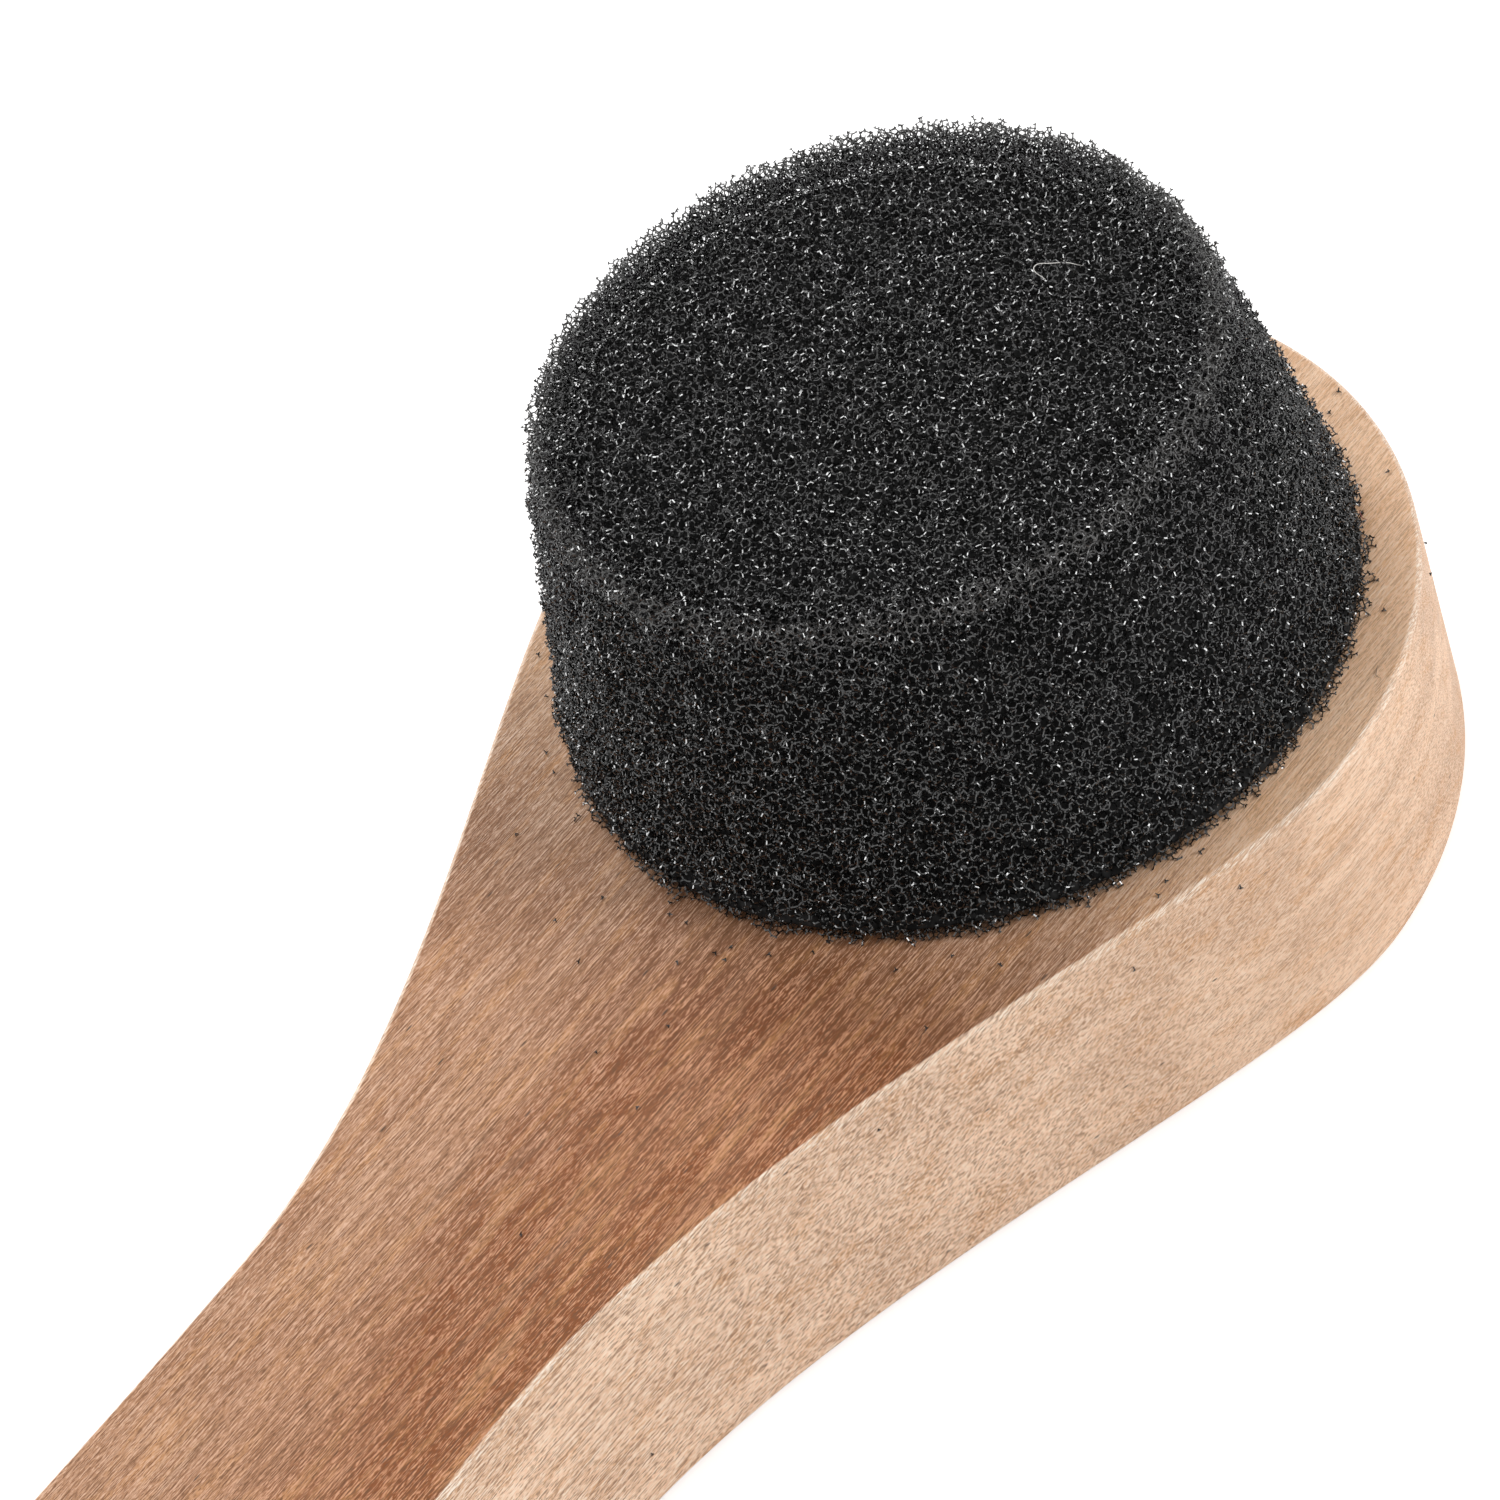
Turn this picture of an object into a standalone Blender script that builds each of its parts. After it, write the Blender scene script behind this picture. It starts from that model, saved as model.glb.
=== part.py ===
"""A shoe brush: a flat wooden handle with a round head, and a thick foam pad glued on its face.

The brush lies on its flat back. X runs along the handle to the tip of the head, Y runs across it and
Z points up out of the face. The origin is on the back, in the middle of the length.
"""

import math

import bpy

# The wooden handle, in metres
HEAD_RADIUS = 0.027
HEAD_TO_NECK = 0.056
NECK_TO_GRIP = 0.060
GRIP_TO_END = 0.027
NECK_WIDTH = 0.0205
GRIP_WIDTH = 0.0255
BOARD_THICKNESS = 0.016
EDGE_RADIUS = 0.0012

# How far each stretch of the outline runs straight on before it turns
SHOULDER_RUN = 0.0118
NECK_RUN = 0.0206
GRIP_RUN = 0.0180
END_RUN = 0.0085

# The layer of glue between wood and foam
GLUE_THICKNESS = 0.0004
GLUE_SETBACK = 0.0015

# The foam pad
BARE_RIM = 0.003
PAD_HEIGHT = 0.0196
WALL_LEAN = 0.0034
RIM_RADIUS = 0.0030
CROWN_HEIGHT = 0.0007

# Pieces that touch keep this gap
CONTACT_GAP = 0.0003

# How finely round shapes are cut
OUTLINE_STEPS = 22
EDGE_STEPS = 3
TURNED_STEPS = 56
RIM_STEPS = 6
CROWN_STEPS = 6

# A quarter circle drawn by one cubic curve has handles of this share of its radius
QUARTER_HANDLE = 4 / 3 * math.tan(math.pi / 8)
MERGE_DISTANCE = 0.00001

# Places along the handle, worked out from the sizes
LENGTH = HEAD_RADIUS + HEAD_TO_NECK + NECK_TO_GRIP + GRIP_TO_END
HEAD_X = LENGTH / 2 - HEAD_RADIUS
NECK_X = HEAD_X - HEAD_TO_NECK
GRIP_X = NECK_X - NECK_TO_GRIP
END_X = GRIP_X - GRIP_TO_END

# Heights of the layers, from the back up
FACE_Z = BOARD_THICKNESS
GLUE_Z = FACE_Z + CONTACT_GAP
PAD_Z = GLUE_Z + GLUE_THICKNESS + CONTACT_GAP
PAD_RADIUS = HEAD_RADIUS - BARE_RIM


def clear_scene():
    for obj in list(bpy.data.objects):
        bpy.data.objects.remove(obj)


def new_collection(name):
    collection = bpy.data.collections.new(name)
    bpy.context.scene.collection.children.link(collection)
    return collection


def new_material(name, color, roughness, metallic=0.0):
    material = bpy.data.materials.new(name)
    material.use_nodes = True
    shader = material.node_tree.nodes["Principled BSDF"]
    shader.inputs["Base Color"].default_value = (*color, 1.0)
    shader.inputs["Roughness"].default_value = roughness
    shader.inputs["Metallic"].default_value = metallic
    return material


def outline_points():
    """Half of the outline as (point, handle before, handle after), from the tip round to the end."""
    quarter = HEAD_RADIUS * QUARTER_HANDLE
    neck_y = NECK_WIDTH / 2
    grip_y = GRIP_WIDTH / 2
    return [
        ((HEAD_X + HEAD_RADIUS, 0), (0, -quarter), (0, quarter)),
        ((HEAD_X, HEAD_RADIUS), (quarter, 0), (-SHOULDER_RUN, 0)),
        ((NECK_X, neck_y), (NECK_RUN, 0), (-NECK_RUN, 0)),
        ((GRIP_X, grip_y), (GRIP_RUN, 0), (-GRIP_RUN, 0)),
        ((END_X, 0), (0, END_RUN), (0, -END_RUN)),
    ]


def mirrored(point):
    """The same outline point on the other side of the handle, with its handles swapped."""
    (x, y), (before_x, before_y), (after_x, after_y) = point
    return (x, -y), (after_x, -after_y), (before_x, -before_y)


def make_handle(collection, material):
    """The board, sawn to its outline and rounded along both edges."""
    half = outline_points()
    points = half + [mirrored(point) for point in reversed(half[1:-1])]
    curve = bpy.data.curves.new("wooden_handle", "CURVE")
    curve.dimensions = "2D"
    curve.fill_mode = "BOTH"
    curve.resolution_u = OUTLINE_STEPS
    curve.extrude = BOARD_THICKNESS / 2 - EDGE_RADIUS
    curve.bevel_depth = EDGE_RADIUS
    curve.bevel_resolution = EDGE_STEPS
    curve.offset = -EDGE_RADIUS
    spline = curve.splines.new("BEZIER")
    spline.bezier_points.add(len(points) - 1)
    for knot, ((x, y), before, after) in zip(spline.bezier_points, points):
        knot.handle_left_type = "FREE"
        knot.handle_right_type = "FREE"
        knot.co = (x, y, 0)
        knot.handle_left = (x + before[0], y + before[1], 0)
        knot.handle_right = (x + after[0], y + after[1], 0)
    spline.use_cyclic_u = True
    handle = bpy.data.objects.new("wooden_handle", curve)
    handle.location = (0, 0, BOARD_THICKNESS / 2)
    curve.materials.append(material)
    collection.objects.link(handle)
    return handle


def make_glue(collection, material):
    """The disc of glue, which stops short of the pad's edge."""
    bpy.ops.mesh.primitive_cylinder_add(
        vertices=TURNED_STEPS,
        radius=PAD_RADIUS - GLUE_SETBACK,
        depth=GLUE_THICKNESS,
        location=(HEAD_X, 0, GLUE_Z + GLUE_THICKNESS / 2),
    )
    glue = bpy.context.object
    glue.name = "glue_layer"
    glue.data.name = "glue_layer"
    glue.data.materials.append(material)
    for other in list(glue.users_collection):
        other.objects.unlink(glue)
    collection.objects.link(glue)
    return glue


def pad_profile():
    """(radius, height) from the crown's middle out and down: crown, rounded rim, leaning wall, flat base."""
    flat_radius = PAD_RADIUS - WALL_LEAN - RIM_RADIUS
    lean = math.atan2(WALL_LEAN, PAD_HEIGHT)
    profile = []
    for step in range(CROWN_STEPS):
        share = step / CROWN_STEPS
        profile.append((flat_radius * share, PAD_HEIGHT + CROWN_HEIGHT * (1 - share**2)))
    for step in range(RIM_STEPS + 1):
        turn = math.pi / 2 + (lean - math.pi / 2) * step / RIM_STEPS
        radius = flat_radius + RIM_RADIUS * math.cos(turn)
        height = PAD_HEIGHT - RIM_RADIUS + RIM_RADIUS * math.sin(turn)
        profile.append((radius, height))
    return profile + [(PAD_RADIUS, 0.0), (0.0, 0.0)]


def make_pad(collection, material):
    """The foam pad, turned from its profile."""
    profile = pad_profile()
    mesh = bpy.data.meshes.new("sponge_pad")
    vertices = [(radius, 0, height) for radius, height in profile]
    edges = [(index, index + 1) for index in range(len(vertices) - 1)]
    mesh.from_pydata(vertices, edges, [])
    mesh.materials.append(material)
    pad = bpy.data.objects.new("sponge_pad", mesh)
    pad.location = (HEAD_X, 0, PAD_Z)
    collection.objects.link(pad)
    turn = pad.modifiers.new("Turn", "SCREW")
    turn.axis = "Z"
    turn.steps = TURNED_STEPS
    turn.render_steps = TURNED_STEPS
    turn.use_merge_vertices = True
    turn.merge_threshold = MERGE_DISTANCE
    turn.use_smooth_shade = True
    return pad


def main():
    clear_scene()
    brush = new_collection("shoe_brush")
    wood = new_material("pale wood", (0.66, 0.46, 0.32), 0.55)
    glue = new_material("clear glue", (0.62, 0.56, 0.45), 0.35)
    foam = new_material("black foam", (0.022, 0.021, 0.021), 0.8)
    make_handle(brush, wood)
    make_glue(brush, glue)
    make_pad(brush, foam)


main()
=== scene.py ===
# %% [markdown]
# # A shoe brush: sawn board, glue and open-cell foam
# The real brush is a flat board sawn to a paddle, with a thick disc of black foam glued on its head.
# It is used to put polish on leather. The measured model of it comes first, as a fixed frame: every
# piece made below takes its size and its place from that frame, in metres. The brush lies on its flat
# back, X runs along the handle to the tip of the head, and Z points up out of the face.

# %% Load the measured model
import itertools
import math

import bmesh
import bpy
import numpy as np
from mathutils import Euler, Matrix, Vector


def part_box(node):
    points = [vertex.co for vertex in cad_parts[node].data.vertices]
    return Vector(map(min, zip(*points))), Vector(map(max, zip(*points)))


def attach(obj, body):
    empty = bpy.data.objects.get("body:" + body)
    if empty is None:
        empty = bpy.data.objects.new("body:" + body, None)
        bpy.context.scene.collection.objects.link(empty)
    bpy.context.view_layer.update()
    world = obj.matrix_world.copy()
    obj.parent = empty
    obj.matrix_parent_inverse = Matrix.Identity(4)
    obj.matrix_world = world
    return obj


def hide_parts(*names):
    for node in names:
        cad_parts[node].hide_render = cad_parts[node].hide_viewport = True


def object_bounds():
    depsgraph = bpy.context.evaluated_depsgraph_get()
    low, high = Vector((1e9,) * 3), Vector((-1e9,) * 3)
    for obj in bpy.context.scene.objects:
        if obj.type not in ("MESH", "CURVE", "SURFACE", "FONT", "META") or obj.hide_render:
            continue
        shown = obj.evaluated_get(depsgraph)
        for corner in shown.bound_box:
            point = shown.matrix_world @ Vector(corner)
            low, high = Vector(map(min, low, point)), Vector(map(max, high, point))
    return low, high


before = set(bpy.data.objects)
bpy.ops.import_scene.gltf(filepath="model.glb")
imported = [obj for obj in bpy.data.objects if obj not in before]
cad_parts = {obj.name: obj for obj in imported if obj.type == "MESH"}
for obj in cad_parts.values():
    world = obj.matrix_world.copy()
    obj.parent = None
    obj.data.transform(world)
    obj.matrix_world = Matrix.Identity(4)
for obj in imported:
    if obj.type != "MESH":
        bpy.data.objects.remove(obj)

cad_low, cad_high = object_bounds()
board_low, board_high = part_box("wooden_handle")
foam_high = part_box("sponge_pad")[1]
print("measured model, mm:", [round(1000 * side, 1) for side in cad_high - cad_low])

# %% [markdown]
# ## The camera
# A product photograph like this one is taken with a long lens from about thirty centimetres away,
# looking down at the face of the head from behind the handle, with the brush lying across the
# picture's diagonal. A place, the direction back towards the eye and the direction that is up in the
# picture say all of that, and each of them can be checked against the object's axes.

# %% Set the camera
CAMERA_PLACE = Vector((-0.0798, -0.1609, 0.2289))
CAMERA_BACK = Vector((-0.4182, -0.5596, 0.7155))
CAMERA_UP = Vector((0.6996, 0.3040, 0.6466))
LENS_MM = 124.2
SENSOR_MM = 36


def make_camera():
    """The camera's three axes are the columns of its matrix: right, up and back."""
    back = CAMERA_BACK.normalized()
    right = CAMERA_UP.cross(back).normalized()
    turn = Matrix((right, back.cross(right), back)).transposed()
    lens = bpy.data.cameras.new("camera")
    lens.lens = LENS_MM
    lens.sensor_width = SENSOR_MM
    camera = bpy.data.objects.new("camera", lens)
    camera.matrix_world = Matrix.Translation(CAMERA_PLACE) @ turn.to_4x4()
    bpy.context.scene.collection.objects.link(camera)
    bpy.context.scene.camera = camera
    return camera


camera = make_camera()
print("camera", [round(value, 4) for value in camera.location])

# %% [markdown]
# ## Two helpers
# Every new piece below is worked out as whole arrays of points and faces, so one helper puts such
# arrays into a mesh. Every finish is a small network of nodes, so one class adds a node and another
# wraps its output. Then a pattern reads as the sum that it is, such as `0.8 * streaks + 0.2 * spots`.

# %% Put arrays into a mesh
def mesh_piece(name, points, faces):
    """A smooth mesh object at the origin, from any array of points and faces (m, 3) or (m, 4)."""
    points = points.reshape(-1, 3)
    corners = faces.shape[1]
    mesh = bpy.data.meshes.new(name)
    mesh.vertices.add(len(points))
    mesh.vertices.foreach_set("co", points.astype(np.float32).ravel())
    mesh.loops.add(faces.size)
    mesh.loops.foreach_set("vertex_index", faces.astype(np.int32).ravel())
    mesh.polygons.add(len(faces))
    mesh.polygons.foreach_set("loop_start", np.arange(0, faces.size, corners, dtype=np.int32))
    mesh.update(calc_edges=True)
    mesh.shade_smooth()
    piece = bpy.data.objects.new(name, mesh)
    bpy.context.scene.collection.objects.link(piece)
    print(name, len(points), "points", len(faces), "faces")
    return piece


# %% Wire nodes as sums
class Wire:
    """The output of a node. Arithmetic on it adds a Math node and gives that node's output."""

    def __init__(self, nodes, socket):
        self.nodes = nodes
        self.socket = socket

    def maths(self, operation, *values):
        """Any other operation of the Math node on these values."""
        inputs = dict(enumerate(values))
        return self.nodes.node("ShaderNodeMath", {"operation": operation}, inputs)["Value"]

    def __add__(self, other):
        return self.maths("ADD", self, other)

    def __sub__(self, other):
        return self.maths("SUBTRACT", self, other)

    def __rsub__(self, other):
        return self.maths("SUBTRACT", other, self)

    def __mul__(self, other):
        return self.maths("MULTIPLY", self, other)

    __radd__ = __add__
    __rmul__ = __mul__


class Outputs:
    """A node that was added: its outputs by name."""

    def __init__(self, nodes, node):
        self.nodes = nodes
        self.node = node

    def __getitem__(self, name):
        return Wire(self.nodes, pick(self.node.outputs, name))


def pick(sockets, name):
    """A socket by its number, or the first one in use that has this name."""
    if isinstance(name, int):
        return sockets[name]
    return next(socket for socket in sockets if socket.name == name and not socket.is_unavailable)


class Nodes:
    """A tree of nodes while it is wired, with one way to add any node."""

    def __init__(self, tree):
        self.tree = tree

    def plug(self, socket, value):
        """Links a wire to the socket, or sets a plain value on it."""
        if isinstance(value, Wire):
            self.tree.links.new(value.socket, socket)
        else:
            socket.default_value = value

    def node(self, kind, settings=None, inputs=None):
        """Adds a node of any kind. Its settings are set first, then its inputs are given or linked."""
        node = self.tree.nodes.new(kind)
        for setting, value in (settings or {}).items():
            setattr(node, setting, value)
        for name, value in (inputs or {}).items():
            self.plug(pick(node.inputs, name), value)
        return Outputs(self, node)

    def seen(self):
        """1 for rays from the camera, from a reflection or through glass, and 0 for all other light."""
        path = self.node("ShaderNodeLightPath")
        mirrored = path["Is Glossy Ray"].maths("MAXIMUM", path["Is Glossy Ray"], path["Is Transmission Ray"])
        return mirrored.maths("MAXIMUM", mirrored, path["Is Camera Ray"])


# %% Wire a finish
class Finish(Nodes):
    """A material while it is wired. Numbers that are the same all over go straight to the shader."""

    def __init__(self, name, **constants):
        self.material = bpy.data.materials.new(name)
        self.material.use_nodes = True
        super().__init__(self.material.node_tree)
        self.shader = self.tree.nodes["Principled BSDF"]
        for socket, value in constants.items():
            self.shader.inputs[socket.replace("_", " ")].default_value = value

    def places(self, stretch=(1.0, 1.0, 1.0), shift=(0.0, 0.0, 0.0)):
        """Points of the piece in its own metres, each axis multiplied by its stretch, then moved."""
        points = self.node("ShaderNodeTexCoord")["Object"]
        mapping = {"Vector": points, "Scale": stretch, "Location": shift}
        return self.node("ShaderNodeMapping", {"vector_type": "POINT"}, mapping)["Vector"]

    def split(self, places):
        """The coordinates of the places, by their names X, Y and Z."""
        return self.node("ShaderNodeSeparateXYZ", None, {"Vector": places})

    def length(self, places):
        """How far each of the places is from the origin."""
        return self.node("ShaderNodeVectorMath", {"operation": "LENGTH"}, {0: places})["Value"]

    def noise(self, places, detail=2.0, roughness=0.5, distortion=0.0, scale=1.0):
        """Soft random values around a half, with this many bumps for each unit of the places."""
        inputs = {"Vector": places, "Scale": scale, "Detail": detail}
        inputs |= {"Roughness": roughness, "Distortion": distortion}
        return self.node("ShaderNodeTexNoise", None, inputs)["Fac"]

    def between(self, value, low, high):
        """0 under low, 1 over high and a smooth rise between. A low over high turns it round."""
        settings = {"interpolation_type": "SMOOTHSTEP"}
        inputs = {"Value": value, "From Min": low, "From Max": high}
        return self.node("ShaderNodeMapRange", settings, inputs)["Result"]

    def mix(self, share, first, second):
        """The first colour where share is 0 and the second where it is 1."""
        inputs = {"Factor": share, "A": first, "B": second}
        return self.node("ShaderNodeMix", {"data_type": "RGBA"}, inputs)["Result"]

    def dent(self, height, distance):
        """A Bump node's normal, with a height of 1 standing this many metres proud."""
        return self.node("ShaderNodeBump", None, {"Height": height, "Distance": distance})["Normal"]

    def wear(self, **wires):
        """Links patterns to the shader's own sockets and gives the finished material."""
        for name, wire in wires.items():
            self.plug(self.shader.inputs[name.replace("_", " ")], wire)
        return self.material


# %% [markdown]
# ## The board's outline
# The paddle is sawn along one smooth line: half a circle for the head, shoulders that sweep in to a
# slim neck, and a grip that swells a little before its round end. A row of points would show as flat
# spots, so each half is four cubic curves. A cubic curve is the weighted mean of four points, and
# the weights are the terms of ((1 - t) + t) cubed. The points are then spaced evenly, so that the
# edges shade evenly.

# %% Draw the outline
HEAD_TO_NECK = 0.056
NECK_TO_GRIP = 0.060
NECK_WIDTH = 0.0205
GRIP_WIDTH = 0.0255
SHOULDER_RUN = 0.0118
NECK_RUN = 0.0206
GRIP_RUN = 0.0180
END_RUN = 0.0085
QUARTER_HANDLE = 4 / 3 * math.tan(math.pi / 8)
CURVE_STEPS = 200
OUTLINE_STEPS = 420

head_radius = board_high.y
head_x = board_high.x - head_radius
neck_x = head_x - HEAD_TO_NECK
grip_x = neck_x - NECK_TO_GRIP


def cubic(start, leave, arrive, end):
    """Points on one cubic curve, the mean of its four points weighted by 1, 3, 3 and 1 times powers."""
    t = np.linspace(0, 1, CURVE_STEPS)[:, None]
    early, late = 1 - t, t
    return early**3 * start + 3 * early**2 * late * leave + 3 * early * late**2 * arrive + late**3 * end


def half_outline():
    """The half with Y over 0, from the tip of the head to the end of the grip, evenly spaced."""
    quarter = head_radius * QUARTER_HANDLE
    knots = [
        ((board_high.x, 0), (0, -quarter), (0, quarter)),
        ((head_x, head_radius), (quarter, 0), (-SHOULDER_RUN, 0)),
        ((neck_x, NECK_WIDTH / 2), (NECK_RUN, 0), (-NECK_RUN, 0)),
        ((grip_x, GRIP_WIDTH / 2), (GRIP_RUN, 0), (-GRIP_RUN, 0)),
        ((board_low.x, 0), (0, END_RUN), (0, -END_RUN)),
    ]
    knots = np.array(knots)
    stretches = []
    for (start, _, after), (end, before, _) in zip(knots[:-1], knots[1:]):
        stretches.append(cubic(start, start + after, end + before, end)[:-1])
    line = np.concatenate([*stretches, knots[-1:, 0]])
    run = np.concatenate([[0], np.cumsum(np.hypot(*np.diff(line, axis=0).T))])
    even = np.linspace(0, run[-1], OUTLINE_STEPS)
    return np.stack([np.interp(even, run, line[:, axis]) for axis in (0, 1)], axis=1)


half = half_outline()
outline = np.concatenate([half, half[-2:0:-1] * (1, -1)])
print("outline of", len(outline), "points, widest", round(2000 * half[:, 1].max(), 1), "mm")

# %% [markdown]
# ## The board
# A real paddle is sawn, and then its edges are rounded on a sanding belt by hand, so the rounding is
# softer in some places than in others. A Bevel modifier would round every edge alike. Here one
# section is carried round the outline instead: from the middle of the back out to the edge, up the
# sawn side and in again over the face. Each point of the section is an inset from the outline and a
# height, and the two roundings are quarter circles whose radius drifts slowly along the outline.

# %% Round the edges
FACE_EDGE = 0.00045
BACK_EDGE = 0.0006
TIP_EDGE = 0.0008
EDGE_DRIFT = 0.22

# How many waves each drift has, and its seed
BACK_DRIFT = (7, 3)
FACE_DRIFT = (9, 5)


def slow_drift(waves, seed):
    """A smooth closed row of values between about -1 and 1: a few sines with random phases."""
    rng = np.random.default_rng(seed)
    turn = np.linspace(0, 2 * np.pi, len(outline), endpoint=False)
    phases = rng.uniform(0, 2 * np.pi, waves)
    return sum(np.sin((n + 2) * turn + phase) for n, phase in enumerate(phases)) / waves**0.5


def edge_radii():
    """Radii of the two roundings: a mean times 1 plus the drift. At the tip the back's is larger."""
    tip = np.clip((outline[:, 0] - head_x) / head_radius, 0, 1)
    back = BACK_EDGE * (1 + EDGE_DRIFT * slow_drift(*BACK_DRIFT)) + TIP_EDGE * tip
    face = FACE_EDGE * (1 + EDGE_DRIFT * slow_drift(*FACE_DRIFT))
    return back[:, None], face[:, None]


back_edge, face_edge = edge_radii()
print("radius at the back", *(1000 * np.array([back_edge.min(), back_edge.max()])).round(2), "mm")

# %% Make the board
EDGE_STEPS = 9
SIDE_STEPS = 8
FLAT_STEPS = 10
MERGE_DISTANCE = 1e-6


def outward(line):
    """The unit normals of a closed outline in the plane: its tangent turned a quarter round."""
    tangent = np.roll(line, -1, axis=0) - np.roll(line, 1, axis=0)
    normal = np.stack([tangent[:, 1], -tangent[:, 0]], axis=1)
    normal *= np.sign((normal * (line - line.mean(axis=0))).sum())
    return normal / np.linalg.norm(normal, axis=1)[:, None]


def flat_side(ring, level):
    """Points from one ring straight in to the middle line of the board, all at one level."""
    spine_x = np.clip(outline[:, 0], board_low.x + GRIP_WIDTH / 2, head_x)
    spine = np.stack([spine_x, 0 * spine_x], axis=1)[:, None]
    share = np.linspace(0, 1, FLAT_STEPS + 1)[None, 1:, None]
    flat = ring[..., :2] * (1 - share) + spine * share
    return np.concatenate([flat, np.full_like(flat[..., :1], level)], axis=2)


def board_surface():
    """(rows, columns, 3): the rows go round the outline and the columns from back to face."""
    back, face = back_edge, face_edge
    turn = np.linspace(0, np.pi / 2, EDGE_STEPS)[None]
    low, high = board_low.z, board_high.z
    side = np.linspace(0, 1, SIDE_STEPS + 2)[None, 1:-1]
    inset = [back * (1 - np.sin(turn)), 0 * side * back, face * (1 - np.cos(turn))]
    height = [
        low + back * (1 - np.cos(turn)),
        low + back + (high - face - low - back) * side,
        high - face + face * np.sin(turn),
    ]
    inset, height = np.concatenate(inset, axis=1), np.concatenate(height, axis=1)
    sawn = outline[:, None] - outward(outline)[:, None] * inset[..., None]
    rim = np.concatenate([sawn, height[..., None]], axis=2)
    return np.concatenate([flat_side(rim[:, :1], low)[:, ::-1], rim, flat_side(rim[:, -1:], high)], axis=1)


def grid_faces(rows, columns):
    """Four-sided faces of a grid that closes on itself along its rows."""
    here = np.arange(rows)[:, None] * columns + np.arange(columns - 1)[None]
    there = (np.arange(rows)[:, None] + 1) % rows * columns + np.arange(columns - 1)[None]
    return np.stack([here, here + 1, there + 1, there], axis=2).reshape(-1, 4)


def closed_piece(name, surface):
    """A piece from a grid of points (rows, columns, 3), joined where its points meet."""
    piece = mesh_piece(name, surface, grid_faces(*surface.shape[:2]))
    net = bmesh.new()
    net.from_mesh(piece.data)
    bmesh.ops.remove_doubles(net, verts=net.verts, dist=MERGE_DISTANCE)
    bmesh.ops.recalc_face_normals(net, faces=net.faces)
    net.to_mesh(piece.data)
    net.free()
    return piece


board = closed_piece("paddle_board", board_surface())
print("board joined to", len(board.data.vertices), "points")

# %% [markdown]
# ## The wood
# The board is a pale, close-grained wood that was sanded and left bare. Up close its colour is not
# one tone. Fibres thinner than a hair catch the light or stay brown, flecks of orange follow them, a
# few greyish streaks and dark pores are scattered about, and growth rings show as broad bands on the
# face and as faint lines along the side. A pattern wrapped round the board would break at its edges,
# so all of it is solid: it is worked out from the point's place in the block of wood. The rings are
# the distance from the tree's middle line, five centimetres below the board. The fibres are noise in
# cells that are long, broad and thin like ribbons. They lean over about the X axis, so the face cuts
# them into fine strokes along the handle, and the sawn side cuts them at a slant.

# %% Lay the grain
GRAIN_LEAN = (-0.97, -0.03, -0.07)
TREE_MIDDLE = (0.0, 0.011, 0.052)
RING_WIDTH = 0.0023
RING_WOBBLE = 0.004
LATE_WOOD = (0.35, 0.92)
YEAR_END = (0.93, 1.0)
PORE_RADIUS = (0.035, 0.085)

# Length, breadth and thickness of what lies along the grain
WOBBLES = (0.050, 0.012, 0.012)
CLOUDS = (0.016, 0.0055, 0.0040)
STREAKS = (0.0130, 0.0014, 0.0007)
FLECKS = (0.0060, 0.0018, 0.0009)
PORE_CELLS = (0.0048, 0.0011, 0.0011)
BUNDLES = (0.0030, 0.00020, 0.000056)
FIBRES = (0.00038, 0.00014, 0.000044)


def grain(wood, size):
    """Places in a block that is turned with the fibres. One unit is this long, broad and thick."""
    block = {"Vector": wood.places(), "Scale": size, "Rotation": GRAIN_LEAN}
    return wood.node("ShaderNodeMapping", {"vector_type": "TEXTURE"}, block)["Vector"]


def ring_lines(wood):
    """0 in the pale wood of a year and 1 in the thin darker wood that ends it."""
    radius = wood.length(wood.places((0.0, 1.0, 1.0), shift=TREE_MIDDLE))
    years = (radius + RING_WOBBLE * wood.noise(grain(wood, WOBBLES))) * (1 / RING_WIDTH)
    part = years.maths("FRACT", years)
    return wood.between(part, *LATE_WOOD) * (1 - wood.between(part, *YEAR_END))


def pores(wood):
    """Short dark dashes, one in most cells of a stretched Voronoi pattern."""
    inputs = {"Vector": grain(wood, PORE_CELLS), "Scale": 1.0}
    cells = wood.node("ShaderNodeTexVoronoi", {"feature": "F1"}, inputs)
    return 1 - wood.between(cells["Distance"], *PORE_RADIUS)


print("rings", round(1000 * RING_WIDTH, 1), "mm wide, fibres", round(1e6 * FIBRES[2]), "micrometres thick")

# %% [markdown]
# ## Where shade and highlight are painted on the wood
# The head is pale, with a little painted shade on its face. The face of the handle is painted much
# darker and warmer, as painted shade with a painted warm bounce of light. It is darkest round the foot
# of the pad, where a contact shadow is painted. The edge of the face gets a painted highlight, a lighter
# line. All of this could be painted on a map, but a mask that is worked out from the place needs none.
# Heights find the flat sides and the edge, the place along and across the handle finds the shaded
# part, and a distance finds the foot.

# %% Find where shade and highlight are painted
# Heights of the band along the face's edge that gets a painted highlight and a smoother finish
EDGE_BAND = (0.00048, 0.00025)
FLATNESS = (0.00004, 0.000005)
# Where the painted shade lies along the handle and across it, and how much of it is left on the +Y side
HAND_SHADE_TO = (0.055, 0.028)
HAND_SHADE_SIDE = (0.009, -0.007)
HAND_SHADE_LEAST = 0.7
# How far from the pad's foot the painted contact shadow reaches
FOOT_SHADOW_REACH = 0.012


def from_head_axis(finish):
    """How far a place is from the upright line through the middle of the head."""
    return finish.length(finish.places((1.0, 1.0, 0.0), shift=(-head_x, 0.0, 0.0)))


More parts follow.
